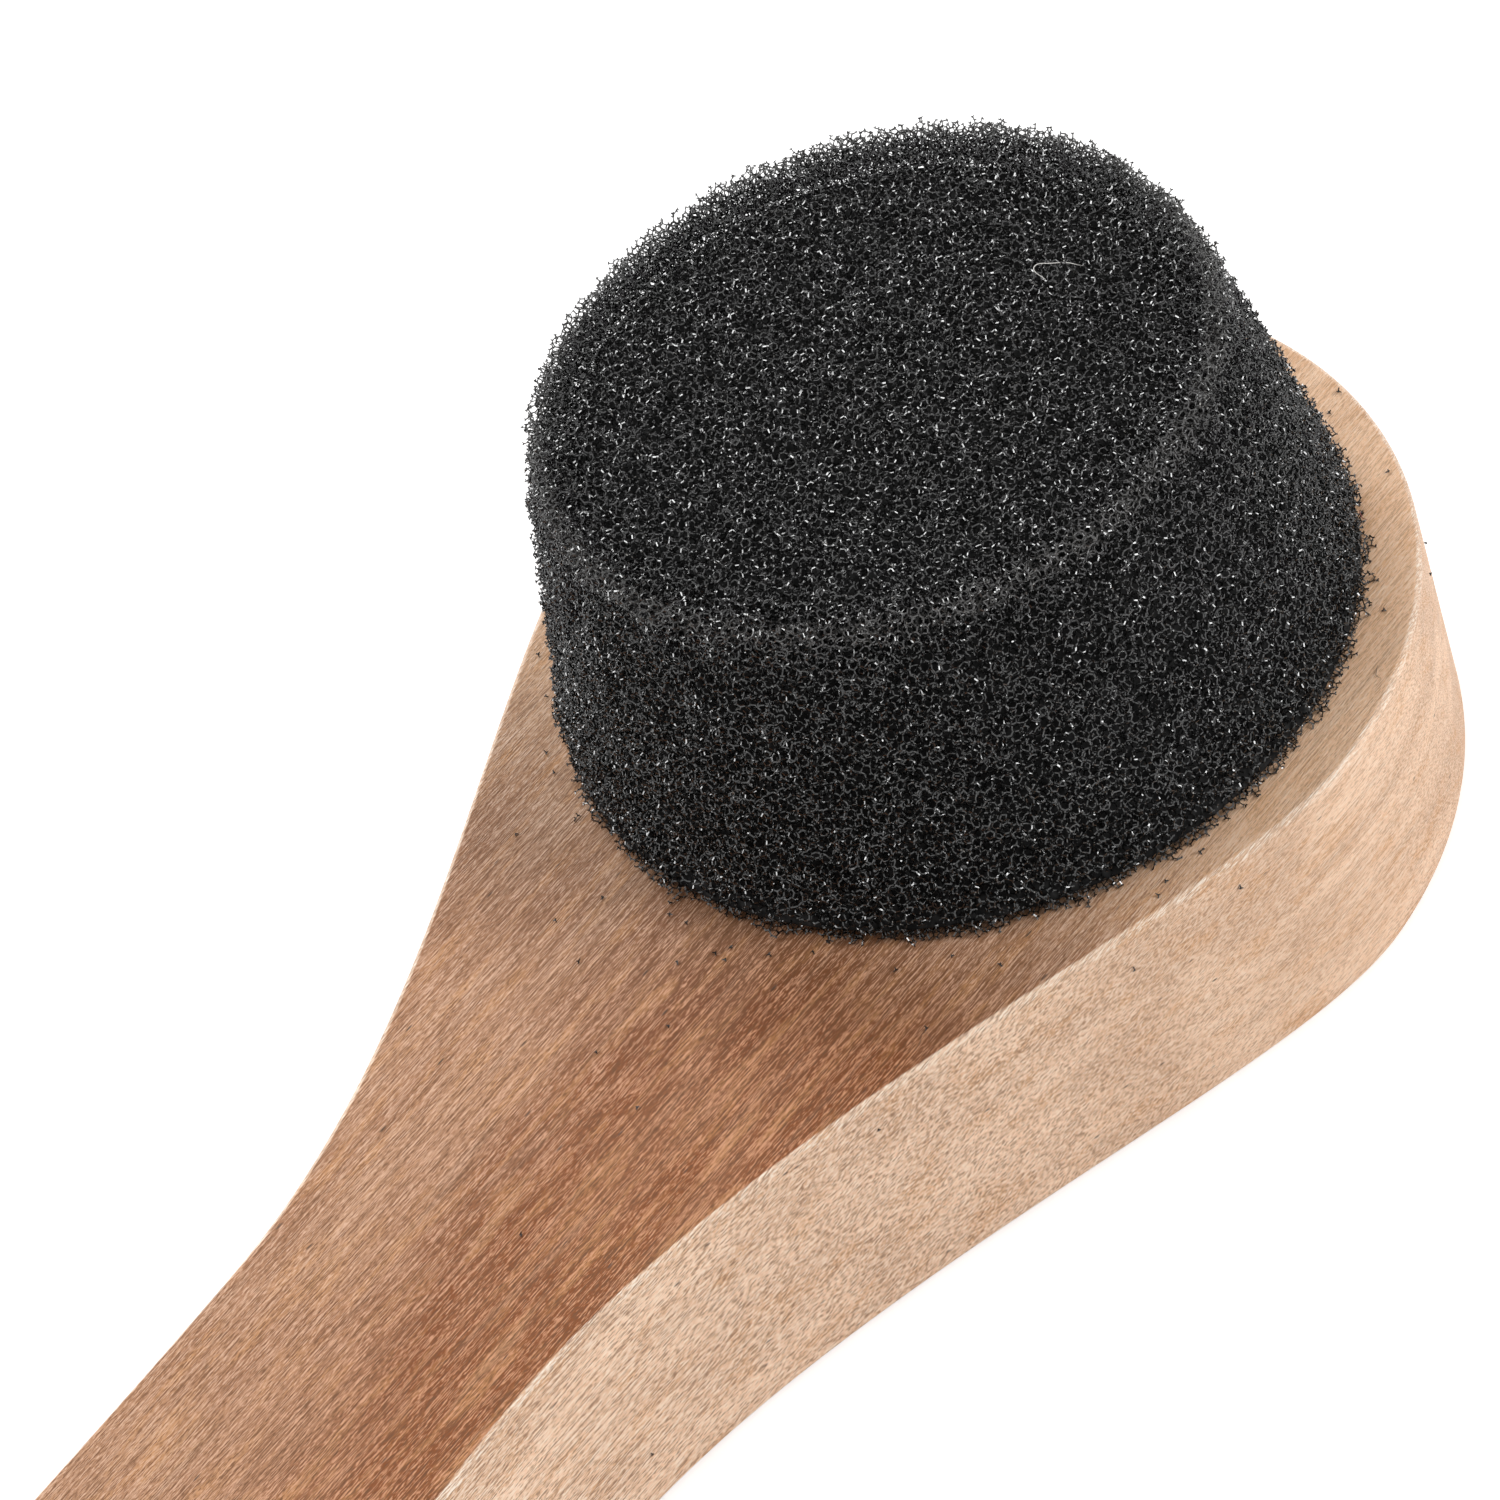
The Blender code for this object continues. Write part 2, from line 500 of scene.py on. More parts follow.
def board_zones(wood):
    """Masks: both flat sides, the rounded edge of the face, the painted shade of the handle and the pad's
    foot, where a contact shadow is painted.
    """
    place = wood.split(wood.places())
    height = place["Z"]
    face = wood.between(height, *(board_high.z - drop for drop in FLATNESS))
    back = wood.between(height, *(board_low.z + rise for rise in FLATNESS))
    # The band of the rounded edge, for its painted highlight and its smoother finish
    edge = wood.between(height, *(board_high.z - drop for drop in EDGE_BAND)) * (1 - face)
    # Painted shade of the handle: weaker towards its +Y side, and gone on the head
    across = HAND_SHADE_LEAST + (1 - HAND_SHADE_LEAST) * wood.between(place["Y"], *HAND_SHADE_SIDE)
    held = wood.between(place["X"], *HAND_SHADE_TO) * across
    # Painted contact shadow round the pad's foot
    foot = wood.between(from_head_axis(wood), board_high.y + FOOT_SHADOW_REACH, board_high.y)
    return face + back, edge, held, foot


# How far along the handle the painted shade reaches
print("handle browned along", round(1000 * (HAND_SHADE_TO[1] - board_low.x)), "mm of its length")

# %% Finish the wood
PALE = (0.880, 0.600, 0.415, 1)
TAN = (0.700, 0.450, 0.295, 1)
WARM = (0.950, 0.605, 0.370, 1)
ORANGE = (0.640, 0.320, 0.130, 1)
# Painted shade: the dark warm brown of the handle, with a painted warm bounce of light
HAND_SHADE_TINT = (0.215, 0.060, 0.010, 1)
# Painted shade: the light strokes where the handle's face is shaded
SHADED_CREAM = (0.620, 0.305, 0.165, 1)
# Painted contact shadow round the pad's foot
FOOT_SHADOW = (0.080, 0.020, 0.004, 1)
ASH = (0.400, 0.300, 0.220, 1)
CREAM = (0.970, 0.830, 0.690, 1)
BROWN = (0.150, 0.060, 0.022, 1)
PORE = (0.050, 0.028, 0.018, 1)

# The values of the noise between which each pattern sets in
CLOUD_RISE = (0.35, 0.65)
FLECK_RISE = (0.48, 0.70)
STREAK_RISE = (0.58, 0.72)
DARK_RISE = (0.422, 0.468)
BRIGHT_RISE = (0.530, 0.572)

# How much of each colour lies over the ones before it
RING_SHARE = 0.35
WARM_SHARE = 0.7
# Painted shade: how much darker the flat sides are on the head and on the handle, in blotches
HEAD_SHADE = 0.09
HANDLE_SHADE = 0.89
SHADE_BLOTCHES = 0.6
# Painted contact shadow round the pad's foot
FOOT_SHADOW_SHARE = 0.45
FLECK_SHARE = 0.45
STREAK_SHARE = 0.16
# Painted highlight along the face's edge, stronger on the light strokes
EDGE_HIGHLIGHT_SHARE = 0.1
EDGE_HIGHLIGHT_STROKES = 0.8
PORE_SHARE = 0.8

# The same for the strokes: on the head, what the handle adds, and what its flat sides add to that. Where the
# shade is painted on the handle, these give more dark strokes and paint the light ones in its darker colour.
DARK_SHARES = (0.34, 0.30, 0.26)
BRIGHT_SHARES = (0.32, 0.27, 0.23)

ROUGH = 0.60
EDGE_POLISH = 0.25
STROKE_POLISH = 0.15
STROKE_HEIGHT = 0.00011


def stroke_share(shares, held, hand_shaded_face):
    """The head's share, plus the handle's and its face's where the shade is painted on them."""
    head, handle, face = shares
    return head + handle * held + face * hand_shaded_face


def wood_finish():
    """Bare sanded wood, from solid noise that is stretched along the grain."""
    wood = Finish("bare_wood", Specular_IOR_Level=0.3)
    flat, edge, held, foot = board_zones(wood)
    hand_shaded_face = flat * held
    clouds = wood.noise(grain(wood, CLOUDS), detail=3.0, distortion=0.5)
    flecks = wood.noise(grain(wood, FLECKS), detail=3.0, roughness=0.6)
    streaks = wood.noise(grain(wood, STREAKS))
    fibres = wood.noise(grain(wood, FIBRES), detail=1.0)
    bundles = wood.noise(grain(wood, BUNDLES), detail=1.0)
    strokes = 0.5 * fibres + 0.5 * bundles
    bright = wood.between(strokes, *BRIGHT_RISE)
    dark = 1 - wood.between(strokes, *DARK_RISE)
    # Painted shade: the flat sides darker than the sawn side, and the handle much darker and warmer
    painted_shade = flat * (HEAD_SHADE + HANDLE_SHADE * held) * (1 - SHADE_BLOTCHES / 2 + SHADE_BLOTCHES * clouds)
    layers = [
        (RING_SHARE * ring_lines(wood), TAN),
        (WARM_SHARE * flat, WARM),
        (painted_shade, HAND_SHADE_TINT),
        # Painted contact shadow round the pad's foot
        (FOOT_SHADOW_SHARE * hand_shaded_face * foot, FOOT_SHADOW),
        (FLECK_SHARE * wood.between(flecks, *FLECK_RISE), ORANGE),
        (STREAK_SHARE * wood.between(streaks, *STREAK_RISE), ASH),
        # Where the shade is painted: more dark strokes, and light strokes in the shaded colour
        (stroke_share(DARK_SHARES, held, hand_shaded_face) * dark, BROWN),
        (stroke_share(BRIGHT_SHARES, held, hand_shaded_face) * bright, wood.mix(hand_shaded_face, CREAM, SHADED_CREAM)),
        # Painted highlight along the rounded edge of the face
        (edge * (EDGE_HIGHLIGHT_SHARE + EDGE_HIGHLIGHT_STROKES * bright), CREAM),
        (PORE_SHARE * pores(wood), PORE),
    ]
    color = wood.mix(wood.between(clouds, *CLOUD_RISE), PALE, TAN)
    for share, layer in layers:
        color = wood.mix(share, color, layer)
    rough = ROUGH - EDGE_POLISH * edge - STROKE_POLISH * bright
    return wood.wear(Base_Color=color, Roughness=rough, Normal=wood.dent(strokes, STROKE_HEIGHT))


board.data.materials.append(wood_finish())
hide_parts("wooden_handle")
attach(board, "root")
print("wood wired with", len(board.data.materials[0].node_tree.nodes), "nodes")

# %% [markdown]
# ## The glue
# The glue under the foam is a thin film that shows only through the cells along the pad's edge. Its
# measured solid already has the right shape, so it keeps that and gets a finish: yellowish, half
# shiny, and clouded where it soaked into the wood.

# %% Finish the glue
HONEY = (0.50, 0.36, 0.22, 1)
CLOUDED = (0.68, 0.54, 0.38, 1)
GLUE_CELLS = (350, 350, 350)
GLUE_ROUGH = 0.25
CLOUD_ROUGH = 0.4
GLUE_RELIEF = 0.0002


def glue_finish():
    """Dried glue: a clouded honey colour that is shinier where it pooled."""
    glue = Finish("dried_glue", Specular_IOR_Level=0.5)
    clouds = glue.noise(glue.places(GLUE_CELLS), detail=3.0, distortion=0.4)
    color = glue.mix(clouds, HONEY, CLOUDED)
    rough = GLUE_ROUGH + CLOUD_ROUGH * clouds
    return glue.wear(Base_Color=color, Roughness=rough, Normal=glue.dent(clouds, GLUE_RELIEF))


glue_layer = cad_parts["glue_layer"]
glue_layer.data.materials.clear()
glue_layer.data.materials.append(glue_finish())
glue_low, glue_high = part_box("glue_layer")
print("glue film", round(1000 * (glue_high.z - glue_low.z), 2), "mm thick")

# %% [markdown]
# ## The pad's form
# The pad was punched out of a sheet of foam with a round cutter, so its walls are nearly straight,
# its rim is crisp and its top swells a little. Nothing below draws that surface itself. What the foam
# needs is a rule that says how deep a point lies under it, in metres, with less than 0 outside. The
# wall and the top each give a depth, and where both are shallower than the rim's radius they join in
# a quarter circle, as the corner of a rounded box does.

# %% Say how deep a point lies in the pad
WALL_LEAN = 0.0043
RIM_RADIUS = 0.0005
CROWN_HEIGHT = 0.0007

pad_radius = foam_high.y
pad_base = board_high.z
pad_height = foam_high.z - CROWN_HEIGHT - pad_base
pad_centre = np.array([head_x, 0, pad_base])


def pad_depth(points, inset=0.0, rim=RIM_RADIUS):
    """The nearer of the depths under wall and top, rounded off along the rim. An inset shrinks it all."""
    from_axis = np.hypot(points[..., 0] - head_x, points[..., 1])
    height = points[..., 2] - pad_base
    crown = CROWN_HEIGHT * (1 - np.clip(from_axis / (pad_radius - RIM_RADIUS), 0, 1) ** 2)
    wall = pad_radius - WALL_LEAN * np.clip(height / pad_height, 0, 1) - from_axis - inset
    top = pad_height + crown - height - inset
    corner = np.hypot(np.maximum(rim - wall, 0), np.maximum(rim - top, 0))
    return np.minimum(np.minimum(wall, top), rim - corner)


print("pad", round(2000 * pad_radius, 1), "mm across and", round(1000 * pad_height, 1), "mm high")

# %% [markdown]
# ## How foam is built
# Foam for putting on polish is open: the thin walls of the bubbles are gone, and only the struts where
# they met are left. Bubbles that crowd together always meet in the same way, three along each strut
# and four at each joint, so the whole net follows from where the middles of the bubbles are. A regular
# stack of them would look like a crystal. Here a thousand middles are dropped by chance into a cube
# that repeats on every side, and they push each other off until they are about evenly spaced.

# %% Space the bubbles
BUBBLES_ASIDE = 10
SPREAD_STEPS = 20
SPREAD_REACH = 1.25 / BUBBLES_ASIDE
SPREAD_PUSH = 0.12
BUBBLE_SEED = 12


def cube_grid(low, high):
    """All places whose three coordinates are whole numbers from low up to, but not with, high."""
    side = np.arange(low, high)
    return np.stack(np.meshgrid(side, side, side, indexing="ij"), axis=-1).reshape(-1, 3)


def bubble_middles():
    """Random points in a cube of side 1. Each pair that is nearer than the reach moves apart a little."""
    rng = np.random.default_rng(BUBBLE_SEED)
    grid = cube_grid(0, BUBBLES_ASIDE)
    spots = (grid + rng.uniform(0, 1, grid.shape)) / BUBBLES_ASIDE
    for _ in range(SPREAD_STEPS):
        apart = spots[:, None] - spots[None]
        apart -= np.round(apart)
        far = np.linalg.norm(apart, axis=2)
        np.fill_diagonal(far, 1)
        push = SPREAD_PUSH * np.maximum(SPREAD_REACH - far, 0) / far
        spots = (spots + (push[..., None] * apart).sum(axis=1)) % 1
    return spots


middles = bubble_middles()
print(len(middles), "bubbles in a cube that repeats")

# %% [markdown]
# ## Joints and struts
# A joint is the point that four neighbouring middles are equally far from, with no fifth one nearer:
# the centre of the ball through the four. For a ball through the origin and the points a, b and c,
# that centre is (|a|^2 b x c + |b|^2 c x a + |c|^2 a x b) / (2 a . b x c). Two joints that share three
# bubbles are the two ends of a strut. Last, springs along the struts even out their lengths a little,
# because in real foam the skin of the bubbles pulls very short struts longer.

# %% Find the joints
NEIGHBOURS = 26
LARGEST_BALL = 1.6 / BUBBLES_ASIDE
NEVER_ZERO = 1e-12
ROUNDING = 1e-9


def squares(vectors):
    """The squared length of each vector: the sum of its squared coordinates."""
    return (vectors**2).sum(axis=-1)


def neighbours_of(middles):
    """Numbers of each bubble's nearest neighbours, and how many cubes away each of them lies."""
    apart = middles[None] - middles[:, None]
    cubes = -np.round(apart)
    near = np.argsort(squares(apart + cubes), axis=1)[:, 1 : NEIGHBOURS + 1]
    return near, np.take_along_axis(cubes, near[..., None], 1).astype(int)


def joints_of(middles):
    """Joints as points, the numbers of their four bubbles and how many cubes away each bubble lies."""
    near, cubes = neighbours_of(middles)
    around = middles[near] + cubes - middles[:, None]
    trios = np.array(list(itertools.combinations(range(NEIGHBOURS), 3)))
    later = near > np.arange(len(near))[:, None]
    bubble, trio = np.nonzero(later[:, trios].all(axis=2))
    trio = trios[trio]
    a, b, c = np.moveaxis(around[bubble[:, None], trio], 1, 0)
    across = np.cross(b, c)
    centre = squares(a)[:, None] * across
    centre += squares(b)[:, None] * np.cross(c, a) + squares(c)[:, None] * np.cross(a, b)
    centre /= 2 * (a * across).sum(axis=1)[:, None] + NEVER_ZERO
    small = squares(centre) < LARGEST_BALL**2
    bubble, trio, centre = bubble[small], trio[small], centre[small]
    room = squares(around)[bubble] - 2 * np.einsum("ij,inj->in", centre, around[bubble])
    alone = (room > -ROUNDING).all(axis=1)
    bubble, trio, centre = bubble[alone], trio[alone], centre[alone]
    four = np.concatenate([bubble[:, None], near[bubble[:, None], trio]], axis=1)
    away = np.concatenate([np.zeros((len(four), 1, 3), int), cubes[bubble[:, None], trio]], axis=1)
    return centre + middles[bubble], four, away


joints, four, away = joints_of(middles)
print(len(joints), "joints,", round(len(joints) / len(middles), 2), "for each bubble")


# %% Pair them into struts
RELAX_STEPS = 12
RELAX_SHARE = 0.10


def struts_of(four, away):
    """For each strut its start, its end, the cubes between them, and three bubbles as each end lists them."""
    rest = np.array(list(itertools.combinations(range(4), 3))[::-1])
    joint = np.repeat(np.arange(len(four)), 4)
    trio = np.tile(rest, (len(four), 1))
    names = four[joint[:, None], trio]
    order = np.argsort(names, axis=1)
    trio, names = np.take_along_axis(trio, order, 1), np.take_along_axis(names, order, 1)
    key = names @ np.array([1, len(middles), len(middles) ** 2])
    first, second = np.argsort(key, kind="stable").reshape(-1, 2).T
    cubes = away[joint[first], trio[first, 0]] - away[joint[second], trio[second, 0]]
    return joint[first], joint[second], cubes, trio[first], trio[second]


def relaxed(joints, start, end, cubes):
    """Moves the ends of each strut a little way towards where it would have the mean length."""
    for _ in range(RELAX_STEPS):
        span = joints[end] + cubes - joints[start]
        length = np.sqrt(squares(span))[:, None]
        move = RELAX_SHARE * (1 - length.mean() / length) * span
        joints = joints.copy()
        np.add.at(joints, start, move)
        np.subtract.at(joints, end, move)
    return joints


start, end, strut_cubes, start_trio, end_trio = struts_of(four, away)
joints = relaxed(joints, start, end, strut_cubes)
lengths = np.sqrt(squares(joints[end] + strut_cubes - joints[start])) * BUBBLES_ASIDE
print(len(start), "struts, mean length", lengths.mean().round(2), "of a bubble")

# %% [markdown]
# ## Struts as one connected skin
# A tube for each strut would leave thousands of loose ends that cross at the joints. Instead, each
# joint gets four corners, one towards each of its bubbles. A strut borders three bubbles, so at both
# of its ends it finds three corners with the same names, and three flat sides join them. All struts
# then share one closed skin, which costs six triangles a strut and shades as if it were round.

# %% Give each joint its corners
BUBBLE = 0.00054
CORNER_RADIUS = 0.000050
CUBE = BUBBLE * BUBBLES_ASIDE
CUBE_TURN = (0.5, 0.35, 0.8)


def unit(vectors):
    """Vectors of length 1: each one divided by its own length."""
    return vectors / np.sqrt(squares(vectors))[..., None]


def in_order(corners, start, end, cubes, start_trio, end_trio):
    """Both ends' corners, listed so that they turn the same way round each strut."""
    rim = corners[start[:, None], start_trio]
    axis = joints[end] + cubes - joints[start]
    turns = (np.cross(rim[:, 1] - rim[:, 0], rim[:, 2] - rim[:, 0]) * axis).sum(axis=1)
    backwards = turns < 0
    for trio in (start_trio, end_trio):
        trio[backwards] = trio[backwards][:, ::-1]
    return start_trio, end_trio


cube_turn = np.array(Euler(CUBE_TURN).to_matrix())
towards = middles[four] + away - joints[:, None]
corners = CUBE * joints[:, None] + CORNER_RADIUS * unit(towards)
start_trio, end_trio = in_order(corners, start, end, strut_cubes, start_trio, end_trio)
rims = corners[start[:, None], start_trio]
print("struts", round(1e6 * np.sqrt(squares(rims[:, 1] - rims[:, 0])).mean()), "micrometres broad")

# %% [markdown]
# ## Cutting the pad out of the foam
# Light goes less than a millimetre into the foam, so the net is kept between the pad's surface and a
# smaller, dark heart. The cutter leaves a slightly wavy surface and tears some struts out instead of
# cutting them, so some joints a little outside are kept too. Then everything that does not hang on
# the inner net is dropped, as real loose bits fall off. A strut that the cutter went through ends in
# a stub closed with a triangle. Towards the heart the joint itself is closed.

# %% Say what the cutter leaves
SHELL = 0.00068
HEART_RIM = 0.0036
WAVES = 6
BITE = 0.00005
BITE_SPANS = (0.0015, 0.0040)
FRAY = 0.00012
FRAY_SPANS = (0.0006, 0.0013)
FRAY_HEIGHT = 0.0025
BITE_SEED = 4


def placed(spots):
    """Points of the repeating foam, in metres, turned and set in the pad."""
    return spots @ cube_turn.T + pad_centre


def cutter_depth(points):
    """The pad's depth plus the cutter's uneven bite, which is a sum of sines and is roughest at the foot."""
    rng = np.random.default_rng(BITE_SEED)
    foot = np.clip(1 - (points[..., 2] - pad_base) / FRAY_HEIGHT, 0, 1)
    depth = pad_depth(points)
    for bite, spans in ((BITE, BITE_SPANS), (FRAY * foot, FRAY_SPANS)):
        for _ in range(WAVES):
            along = 2 * np.pi / rng.uniform(*spans) * unit(rng.normal(size=3))
            depth = depth + bite * np.sin(points @ along + rng.uniform(0, 2 * np.pi))
    return depth


def foot_height(points):
    """Height over the wood, less half a strut."""
    return points[..., 2] - pad_base - CORNER_RADIUS


def heart_depth(points):
    """The depth in the heart, which is the pad shrunk by SHELL and with a rounder rim."""
    return pad_depth(points, SHELL, HEART_RIM)


waves = [round(1000 * WAVES * bite, 2) for bite in (BITE, BITE + FRAY)]
print("cutter's waves within", waves[0], "mm, and at the foot", waves[1], "mm")

# %% Choose the joints of the pad
SPUR_REACH = 0.00040
SPUR_SHARE = 0.36
SPUR_SEED = 6
HOLD_DEPTH = 0.4 * SHELL
FARTHEST = 1.5 * pad_radius


def cubes_in_reach():
    """Whole-number places of the repeating cubes that can reach into the kept shell."""
    count = int(FARTHEST / CUBE) + 2
    cubes = cube_grid(-count, count + 1)
    centre = placed((cubes + 0.5) * CUBE)
    near = (pad_depth(centre) > -CUBE) & (heart_depth(centre) < CUBE) & (foot_height(centre) > -CUBE)
    return cubes[near]


def held_together(kept, deep, first, second):
    """Of the kept joints, those that struts link to a deep one. The hold spreads a strut at a time."""
    held = kept & deep
    while True:
        grown = held.copy()
        grown[first[held[second]]] = True
        grown[second[held[first]]] = True
        if grown.sum() == held.sum():
            return held
        held = grown


def chosen_joints(number):
    """(blocks, joints): which joints belong to the pad."""
    spots = placed(CUBE * (blocks[:, None] + joints))
    depth = cutter_depth(spots)
    torn = np.random.default_rng(SPUR_SEED).uniform(size=depth.shape) < SPUR_SHARE
    kept = (depth > -SPUR_REACH * torn) & (foot_height(spots) > 0) & (heart_depth(spots) < 0)
    there = number[tuple(np.moveaxis(blocks[:, None] + strut_cubes, -1, 0))]
    first = np.arange(len(blocks))[:, None] * len(joints) + start
    second = there * len(joints) + end
    whole = kept[:, start] & (there >= 0) & kept[there, end]
    held = held_together(kept.ravel(), (depth > HOLD_DEPTH).ravel(), first[whole], second[whole])
    return held.reshape(kept.shape)


blocks = cubes_in_reach()
print(len(blocks), "cubes of foam reach into the shell of the pad")

# %% Skin the pad
STUB_SHARES = (0.10, 0.90)
TORN_SHARE = 0.45


def sides(near, far):
    """Six triangles for each strut, from its three near corners to its three far corners."""
    after = [1, 2, 0]
    lower = np.stack([near, near[:, after], far[:, after]], axis=2)
    upper = np.stack([near, far[:, after], far], axis=2)
    return np.concatenate([lower.reshape(-1, 3), upper.reshape(-1, 3)])


def cut_share(inside, outside):
    """How far along a strut the depth falls to 0. All of it is left inside, and a torn part outside."""
    share = np.where(outside < 0, inside / np.maximum(inside - outside, ROUNDING), 1.0)
    return np.where(inside < 0, TORN_SHARE, share)


def foam_skin():
    """Points and triangles of all the struts of the pad, as one closed skin. Whole struts are made in
    the first round, from start to end. Cut ones are made in both, because either end can be kept. The
    table of block numbers is read at negative places too, which numpy counts from its far end."""
    number = np.full((2 * abs(blocks).max() + 4,) * 3, -1)
    number[tuple(blocks.T)] = np.arange(len(blocks))
    kept = chosen_joints(number)
    order = np.cumsum(kept).reshape(kept.shape) - 1
    block, joint = np.nonzero(kept)
    skin = [placed(CUBE * blocks[block][:, None] + corners[joint]).reshape(-1, 3)]
    triangles, total = [], len(skin[0])
    onward = (start, end, strut_cubes, start_trio, end_trio)
    back = (end, start, -strut_cubes, end_trio[:, ::-1], start_trio[:, ::-1])
    for one, other, step, one_trio, other_trio in (onward, back):
        there = number[tuple(np.moveaxis(blocks[:, None] + step, -1, 0))]
        beyond = (there >= 0) & kept[there, other]
        if one is start:
            row, strut = np.nonzero(kept[:, one] & beyond)
            near = 4 * order[row, one[strut]][:, None] + one_trio[strut]
            far = 4 * order[there[row, strut], other[strut]][:, None] + other_trio[strut]
            triangles.append(sides(near, far))
        row, strut = np.nonzero(kept[:, one] & ~beyond)
        near = 4 * order[row, one[strut]][:, None] + one_trio[strut]
        inner = placed(CUBE * (blocks[row] + joints[one[strut]]))
        outer = placed(CUBE * (blocks[row] + step[strut] + joints[other[strut]]))
        closed = heart_depth(outer) >= 0
        triangles.append(near[closed])
        near, row, strut, inner, outer = (values[~closed] for values in (near, row, strut, inner, outer))
        share = np.minimum(
            cut_share(cutter_depth(inner), cutter_depth(outer)),
            cut_share(foot_height(inner), foot_height(outer)),
        )
        share = np.clip(share, *STUB_SHARES)[:, None, None]
        here = corners[one[strut][:, None], one_trio[strut]]
        away = CUBE * step[strut][:, None] + corners[other[strut][:, None], other_trio[strut]]
        skin.append(placed(CUBE * blocks[row][:, None] + here + share * (away - here)).reshape(-1, 3))
        cut = total + np.arange(near.size).reshape(-1, 3)
        total += near.size
        triangles += [sides(near, cut), cut]
    return np.concatenate(skin), np.concatenate(triangles)


points, triangles = foam_skin()
foam = mesh_piece("foam_struts", points, triangles)
foam.data.shade_flat()

# %% [markdown]
# ## The foam's finish
# The struts are black and glossy, so what shows is where each one mirrors a lamp. Their sides are left
# flat, not smoothed, because a flat side mirrors the lamp as one short glint. Little of the look comes
# from colour: a film of dust greys some struts, and a few carry a paler mote. Along the rim a band is
# painted greyer, partly dust and partly a painted highlight where the rounded rim catches the light.
# The dust is read from a flat map that looks at the pad aslant. Struts behind each other then share a
# colour, which cannot be seen, and the map stays small for more than a million triangles. The rim is
# found from the place of a point, by how far it is from a circle.

# %% Finish the foam
MAP_SPAN = 0.062
MAP_ACROSS = (0.80, 0.36, 0.48)
MAP_UP = (-0.30, 0.93, -0.21)
SOOT = (0.004, 0.004, 0.004, 1)
DUSTY = (0.028, 0.027, 0.025, 1)
# Along the rim: partly dust, partly a painted highlight
RIM_DUST_AND_SHEEN = (0.055, 0.053, 0.050, 1)
MOTE = (0.420, 0.400, 0.370, 1)
# How far from the rim's circle the band of dust and painted highlight reaches
RIM_BAND_REACH = (0.0013, 0.0003)
DUST_SCALE = 160.0
MOTE_SCALE = 460.0
DUST_RISE = (0.5, 0.75)
MOTE_RISE = (0.77, 0.82)
# How grey the rim's band of dust and painted highlight is at least, and how much the dust adds
RIM_GREY_LEAST = 0.4
RIM_GREY_DUST = 0.8


def slanted_map(piece, points, triangles):
    """A map that looks at the pad aslant, so that no wall of it is seen edge-on."""
    across, up = unit(np.array(MAP_ACROSS)), unit(np.array(MAP_UP))
    flat = (points - pad_centre) @ np.stack([across, up], axis=1) / MAP_SPAN + 0.5
    layer = piece.data.uv_layers.new(name="OFBake")
    layer.data.foreach_set("uv", flat[triangles.ravel()].astype(np.float32).ravel())


def rim_dust_and_sheen(foam):
    """1 on the circle where the wall meets the top, and 0 a little way off it."""
    aside = from_head_axis(foam) - (pad_radius - WALL_LEAN)
    above = foam.split(foam.places())["Z"] - (pad_base + pad_height)
    return foam.between(aside * aside + above * above, *(reach**2 for reach in RIM_BAND_REACH))


def foam_finish():
    """Black struts, greyer where dust lies on them, greyer along the rim as dust and painted highlight, and
    pale at the few motes.
    """
    foam = Finish("black_foam", Roughness=0.15, Specular_IOR_Level=1.0)
    spread = foam.node("ShaderNodeUVMap", {"uv_map": "OFBake"})["UV"]
    dust = foam.noise(spread, scale=DUST_SCALE)
    motes = foam.noise(spread, detail=0.0, scale=MOTE_SCALE)
    color = foam.mix(foam.between(dust, *DUST_RISE), SOOT, DUSTY)
    # Along the rim: dust and a painted highlight where the rounded rim catches the light
    color = foam.mix(rim_dust_and_sheen(foam) * (RIM_GREY_LEAST + RIM_GREY_DUST * dust), color, RIM_DUST_AND_SHEEN)
    return foam.wear(Base_Color=foam.mix(foam.between(motes, *MOTE_RISE), color, MOTE))


slanted_map(foam, points, triangles)
foam.data.materials.append(foam_finish())
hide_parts("sponge_pad")
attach(foam, "root")
print("foam finished, map of", round(1000 * MAP_SPAN), "mm")

# %% [markdown]
# ## The pad's heart
# Deeper in the foam so many struts overlap that no light comes back out. A plain closed form, turned
# from a section that follows the pad's own, stops the eye there. At the rim it is rounder and stays
# further in, so the edge of the pad is a fringe of struts that the light shines through. At its foot
# it flares out again, because there the struts stand in the pad's own shadow.

# %% Fill the pad's heart
HEART_STEPS = 96
SECTION_STEPS = 12
FOOT_DEPTH = 0.00030
FOOT_RISE = 0.0015
HEART_BLACK = (0.010, 0.010, 0.010, 1)
HEART_GREY = (0.028, 0.028, 0.028, 1)
HEART_CELLS = (1400, 1400, 1400)
HEART_RISE = (0.4, 0.7)


def heart_profile():
    """(radius, height) along the section: out over the base, up the wall, round the rim, in again.
    The foot of the wall stands further out, by a parabola that ends at FOOT_RISE."""
    high = pad_base + pad_height - SHELL
    radius = pad_radius - SHELL - WALL_LEAN - HEART_RIM
    along = np.linspace(0, 1, SECTION_STEPS)
    quarter = along * np.pi / 2
    rim = np.stack([radius + HEART_RIM * np.cos(quarter), high - HEART_RIM * (1 - np.sin(quarter))], axis=1)
    height = glue_high.z + (rim[0, 1] - glue_high.z) * along**2
    flare = (SHELL - FOOT_DEPTH) * np.clip(1 - (height - glue_high.z) / FOOT_RISE, 0, 1) ** 2
    foot = pad_radius - SHELL
    wall = np.stack([foot + (rim[0, 0] - foot) * along**2 + flare, height], axis=1)
    base = np.stack([wall[0, 0] * along, 0 * along + glue_high.z], axis=1)
    top = np.stack([radius * (1 - along), high + CROWN_HEIGHT * (1 - (1 - along) ** 2)], axis=1)
    return np.concatenate([base, wall[1:], rim[1:], top[1:]])


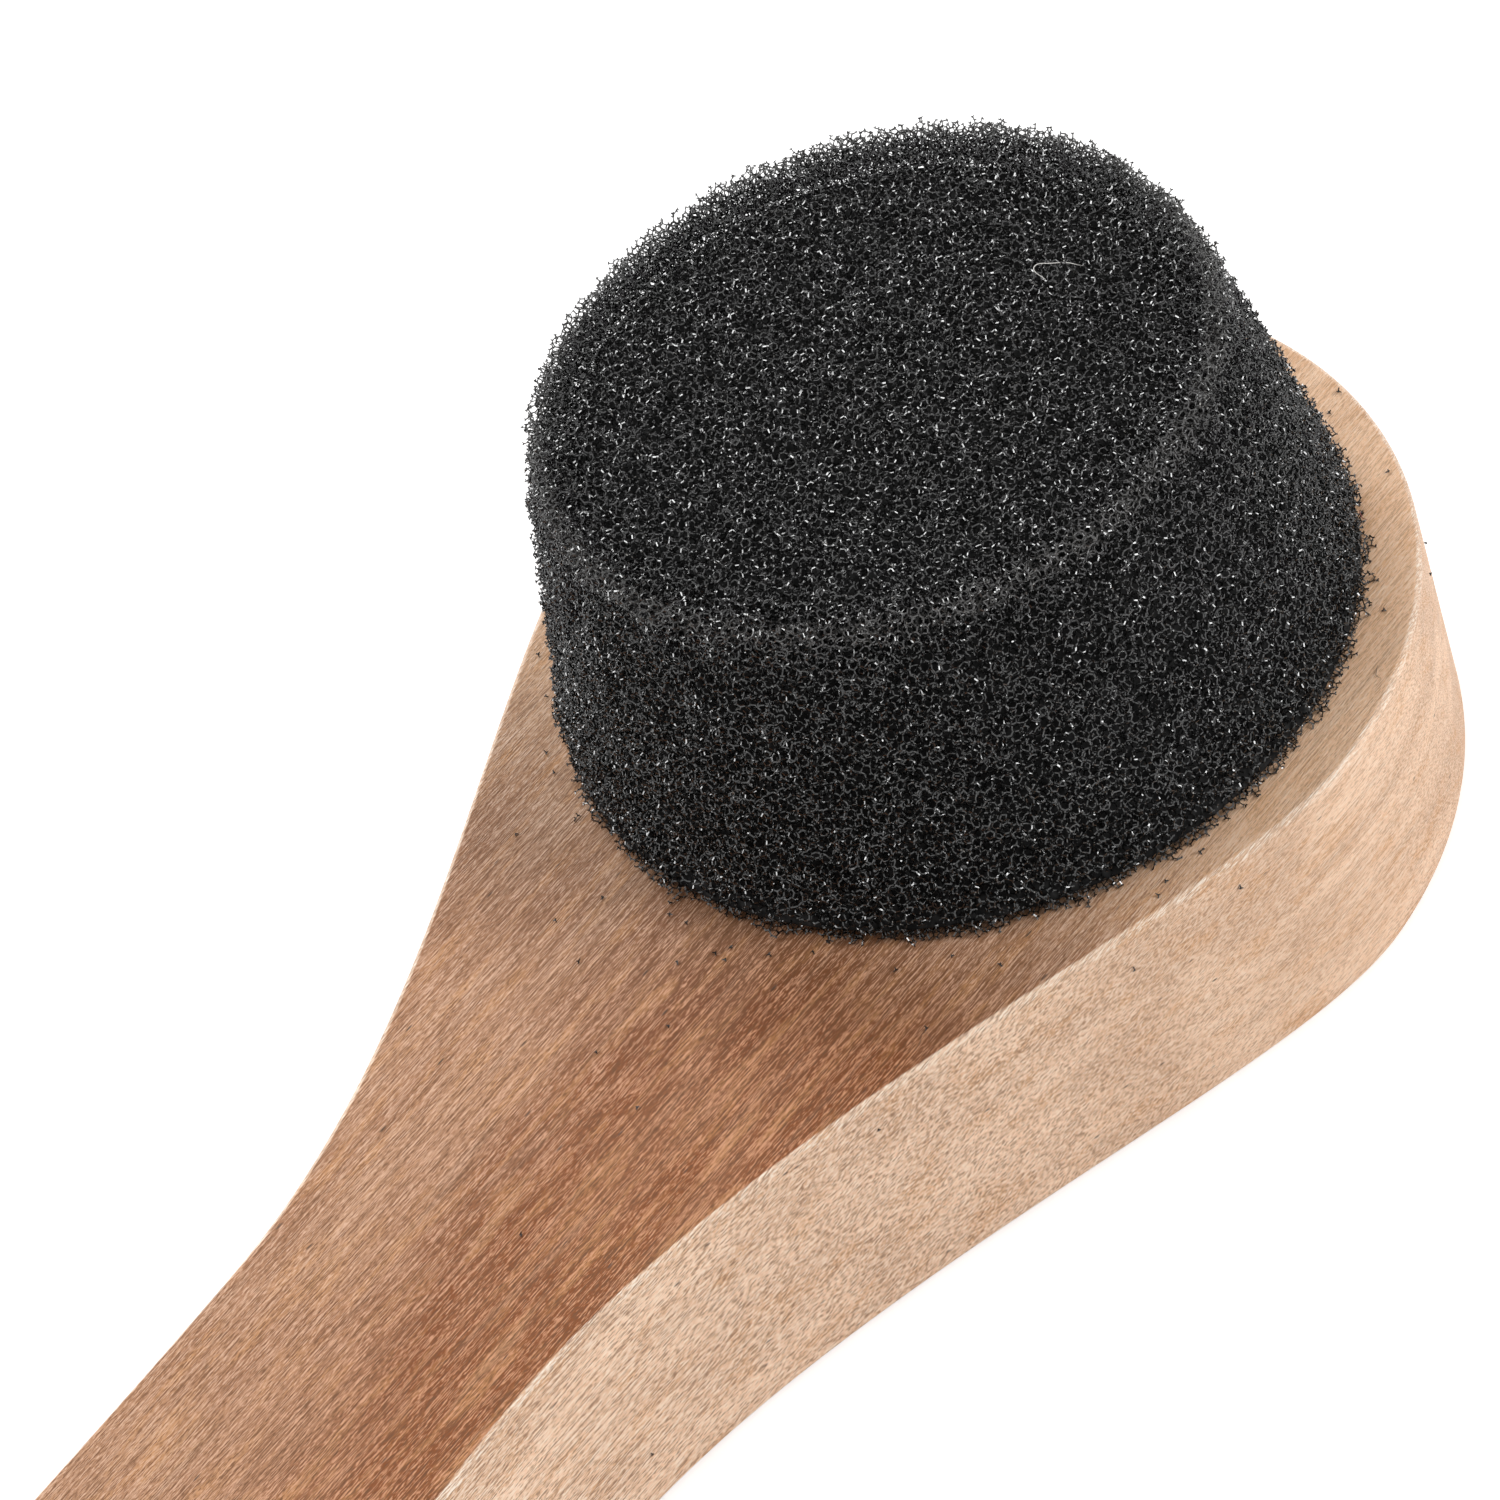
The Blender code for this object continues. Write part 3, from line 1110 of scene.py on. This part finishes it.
def turned(name, profile, steps):
    """A profile of (radius, height), carried round the pad's axis from one pole to the other."""
    angle = np.linspace(0, 2 * np.pi, steps, endpoint=False)[:, None]
    radius, height = profile.T
    rings = [head_x + radius * np.cos(angle), radius * np.sin(angle), height + 0 * angle]
    return closed_piece(name, np.stack(rings, axis=2))


def heart_finish():
    """Foam so deep that no light comes back out of it."""
    dark = Finish("foam_depths", Roughness=0.9, Specular_IOR_Level=0.1)
    cells = dark.noise(dark.places(HEART_CELLS))
    return dark.wear(Base_Color=dark.mix(dark.between(cells, *HEART_RISE), HEART_BLACK, HEART_GREY))


heart = turned("foam_heart", heart_profile(), HEART_STEPS)
heart.data.materials.append(heart_finish())
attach(heart, "root")

# %% [markdown]
# ## Crumbs of foam
# Struts that the cutter tore off lie on the wood around the pad as black specks. Each one is a single
# joint of the same foam, so it has four corners and four short arms. An arm leaves through the three
# corners that it does not face, which is how the struts of the pad leave theirs. The crumbs are turned
# by chance and then moved along the wood's own normal until their lowest point just touches it.

# %% Scatter the crumbs
CRUMBS_ON_FACE = 46
CRUMBS_ON_SIDE = 20
CRUMB_CORNER = 0.000055
ARM_REACH = (0.00005, 0.00020)
CRUMB_SPREAD = 0.0045
CRUMB_START = 0.0006
CRUMB_TRIES = 12
ARM_TAPER = 0.7
RIM_CLEAR = 0.0010
SIDE_BAND = (0.003, 0.014)
CRUMB_SEED = 21
CRUMB_TRIOS = np.array([(1, 3, 2), (0, 2, 3), (0, 3, 1), (0, 1, 2)])


def crumb_spots(rng):
    """Points on the wood with its normals: most of them on the face near the pad, the rest on the side."""
    turn = rng.uniform(-np.pi, np.pi, CRUMB_TRIES * CRUMBS_ON_FACE)
    away = pad_radius + CRUMB_START + rng.exponential(CRUMB_SPREAD, turn.shape)
    face = np.stack([head_x + away * np.cos(turn), away * np.sin(turn), 0 * turn + board_high.z], axis=1)
    room = np.interp(face[:, 0], half[::-1, 0], half[::-1, 1]) - RIM_CLEAR - abs(face[:, 1])
    face = face[room > 0][:CRUMBS_ON_FACE]
    number = rng.choice(np.flatnonzero(outline[:, 0] > neck_x), CRUMBS_ON_SIDE)
    height = rng.uniform(*SIDE_BAND, CRUMBS_ON_SIDE)
    side = np.concatenate([outline[number], height[:, None]], axis=1)
    level = np.concatenate([outward(outline)[number], 0 * height[:, None]], axis=1)
    return np.concatenate([face, side]), np.concatenate([0 * face + (0, 0, 1), level])


def chance_turns(rng, count):
    """(count, 3, 3) turning matrices, each from two random directions made square to each other."""
    first = unit(rng.normal(size=(count, 3)))
    second = rng.normal(size=(count, 3))
    second = unit(second - (second * first).sum(axis=1)[:, None] * first)
    return np.stack([first, second, np.cross(first, second)], axis=1)


def crumb_points(rng, spots, normals):
    """(crumbs, 16, 3): the four corners of each joint, then the three points that end each arm."""
    towards = unit(np.array([(1, 1, 1), (1, -1, -1), (-1, 1, -1), (-1, -1, 1)]))
    joint = CRUMB_CORNER * np.broadcast_to(towards, (len(spots), 4, 3))
    reach = rng.uniform(*ARM_REACH, (len(spots), 4, 1, 1))
    ends = ARM_TAPER * joint[:, CRUMB_TRIOS] - reach * towards[:, None]
    shape = np.concatenate([joint, ends.reshape(len(spots), 12, 3)], axis=1)
    shape = shape @ chance_turns(rng, len(spots))
    sunk = (shape * normals[:, None]).sum(axis=2).min(axis=1)
    return shape + (spots - sunk[:, None] * normals)[:, None]


arm_ends = 4 + np.arange(12).reshape(4, 3)
crumb_faces = np.concatenate([sides(CRUMB_TRIOS, arm_ends), arm_ends])
rng = np.random.default_rng(CRUMB_SEED)
specks = crumb_points(rng, *crumb_spots(rng))
numbers = 16 * np.arange(len(specks))[:, None, None] + crumb_faces
crumbs = mesh_piece("foam_crumbs", specks, numbers.reshape(-1, 3))
crumbs.data.shade_flat()


# %% Finish the crumbs
CRUMB_CELLS = (4000, 4000, 4000)


def crumb_finish():
    """The foam's black, read from the crumb's place because crumbs need no map."""
    crumb = Finish("crumb_black", Roughness=0.35, Specular_IOR_Level=0.6)
    fine = crumb.noise(crumb.places(CRUMB_CELLS))
    return crumb.wear(Base_Color=crumb.mix(fine, SOOT, DUSTY))


crumbs.data.materials.append(crumb_finish())
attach(crumbs, "root")
print(len(specks), "crumbs lie on the wood")

# %% [markdown]
# ## Lint
# A few hairs cling to the foam and the wood. A hair is bent once and otherwise nearly straight, so each
# one is laid as a walk of short, equal steps. The heading of the steps is a hyperbolic tangent, which
# swings over quickly at one place, plus a sine for the ripples. A thin round tube is carried along that
# line and closed at both ends.

# %% Lay the lint
HAIR_STEPS = 60
HAIR_SIDES = 6
BEND_PLACE = 0.36
BEND_WIDTH = 0.08
RIPPLES = 2
HAIR_CELLS = (3000, 3000, 3000)

# Where each strand starts, its heading, length, swing at the bend, ripple and thickness
LINT = {
    "pale_hair": ((0.0670, -0.0061, 0.0373), -0.07, 0.0046, 1.22, 0.20, 0.000028),
    "dark_hair": ((0.0319, -0.0169, 0.0161), 2.20, 0.0022, -1.20, 0.30, 0.000016),
    "bent_hair": ((0.0638, -0.0256, 0.0161), 0.90, 0.0012, 0.50, 0.10, 0.000016),
    "red_fibre": ((0.0710, -0.0210, 0.0200), 1.20, 0.0011, 0.40, 0.10, 0.000030),
}
LINT_COLORS = {
    "pale_hair": ((0.80, 0.77, 0.73, 1), (0.60, 0.58, 0.55, 1)),
    "dark_hair": ((0.10, 0.05, 0.03, 1), (0.04, 0.02, 0.01, 1)),
    "bent_hair": ((0.06, 0.04, 0.03, 1), (0.03, 0.02, 0.01, 1)),
    "red_fibre": ((0.28, 0.03, 0.02, 1), (0.16, 0.02, 0.02, 1)),
}


def strand(place, heading, length, swing, ripple):
    """Points of a strand that lies flat: a sum of short steps whose heading swings over once and ripples."""
    t = np.linspace(0, 1, HAIR_STEPS)
    ripples = ripple * np.sin(2 * np.pi * RIPPLES * t)
    angle = heading - swing * np.tanh((t - BEND_PLACE) / BEND_WIDTH) + ripples
    steps = np.stack([np.cos(angle), np.sin(angle), 0 * t], axis=1)
    return np.array(place) + length / HAIR_STEPS * np.cumsum(steps, axis=0)


def tube(name, line, thickness):
    """A round tube along a line that lies nearly level: each ring stands on the line's direction."""
    onward = unit(np.gradient(line, axis=0))
    aside = unit(np.cross((0, 0, 1), onward))
    up = np.cross(onward, aside)
    taper = thickness * np.sqrt(np.sin(np.linspace(0, np.pi, len(line))))[None, :, None]
    angle = np.linspace(0, 2 * np.pi, HAIR_SIDES, endpoint=False)[:, None, None]
    rings = line + taper * (np.cos(angle) * aside + np.sin(angle) * up)
    return closed_piece(name, rings)


def hair_finish(name, fresh, dusty):
    """A hair that is a little darker in places."""
    hair = Finish(name, Roughness=0.4, Specular_IOR_Level=0.5)
    return hair.wear(Base_Color=hair.mix(hair.noise(hair.places(HAIR_CELLS)), fresh, dusty))


for name, (*path, thickness) in LINT.items():
    hair = tube(name, strand(*path), thickness)
    hair.data.materials.append(hair_finish(name, *LINT_COLORS[name]))
    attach(hair, "root")

# %% [markdown]
# ## The floor
# A plain white sheet carries the brush and its soft shadow. White in the picture should not come from
# more light on the brush, so the sheet has the colour of paper and adds a little glow of its own that
# only the camera and mirrored rays see.

# %% Lay the floor
FLOOR_SIDE = 3.0
FLOOR_DROP = 0.0002
FLOOR_GLOW = 0.45
PAPER = (0.80, 0.80, 0.80, 1)
PAPER_LIGHT = (0.82, 0.82, 0.82, 1)
PAPER_CELLS = (3, 3, 3)


def floor_finish():
    """Matt paper with faint clouds."""
    paper = Finish("white_paper", Roughness=0.9, Specular_IOR_Level=0.1, Emission_Color=(1, 1, 1, 1))
    clouds = paper.noise(paper.places(PAPER_CELLS), detail=1.0)
    color = paper.mix(clouds, PAPER, PAPER_LIGHT)
    return paper.wear(Base_Color=color, Emission_Strength=FLOOR_GLOW * paper.seen())


square = np.array([(-1, -1), (1, -1), (1, 1), (-1, 1)]) * FLOOR_SIDE / 2
floor_points = np.concatenate([square, np.full((4, 1), cad_low.z - FLOOR_DROP)], axis=1)
floor = mesh_piece("studio_floor", floor_points, np.array([[0, 1, 2, 3]]))
floor.data.materials.append(floor_finish())

# %% [markdown]
# ## The light
# A white room lights everything evenly. One broad lamp at the front right lights the side of the board
# more than its face and gives the shadow of the pad. Two more behind the pad draw the glints on its
# far rim. A larger lamp gives softer shadows but longer and duller glints on the struts, and lamps of
# about thirty centimetres are a fair mean between the two.

# %% Light it
AMBIENT = 0.45

# The place, size and power of each lamp
LAMPS = {
    "key_light": ((0.36, -0.71, 0.57), 0.36, 5.1),
    "rim_light": ((0.32, 0.50, 0.50), 0.28, 2.2),
    "back_light": ((-0.30, 0.45, 0.42), 0.28, 1.9),
}


def soft_box(name, place, size, power):
    """A square lamp that faces the pad."""
    lamp = bpy.data.lights.new(name, "AREA")
    lamp.shape = "SQUARE"
    lamp.size = size
    lamp.energy = power
    box = bpy.data.objects.new(name, lamp)
    box.location = place
    box.rotation_mode = "QUATERNION"
    box.rotation_quaternion = (Vector(pad_centre) - Vector(place)).to_track_quat("-Z", "Y")
    bpy.context.scene.collection.objects.link(box)
    return box


def white_room():
    """A world that is white where it is seen and as bright as AMBIENT where it lights things."""
    world = bpy.data.worlds.new("white_room")
    world.use_nodes = True
    nodes = Nodes(world.node_tree)
    background = world.node_tree.nodes["Background"]
    background.inputs["Color"].default_value = (1, 1, 1, 1)
    nodes.plug(background.inputs["Strength"], AMBIENT + (1 - AMBIENT) * nodes.seen())
    return world


for name, (place, size, power) in LAMPS.items():
    soft_box(name, place, size, power)
bpy.context.scene.world = white_room()
bpy.context.scene.view_settings.view_transform = "Standard"
print(len(LAMPS), "lamps and a room of", AMBIENT)
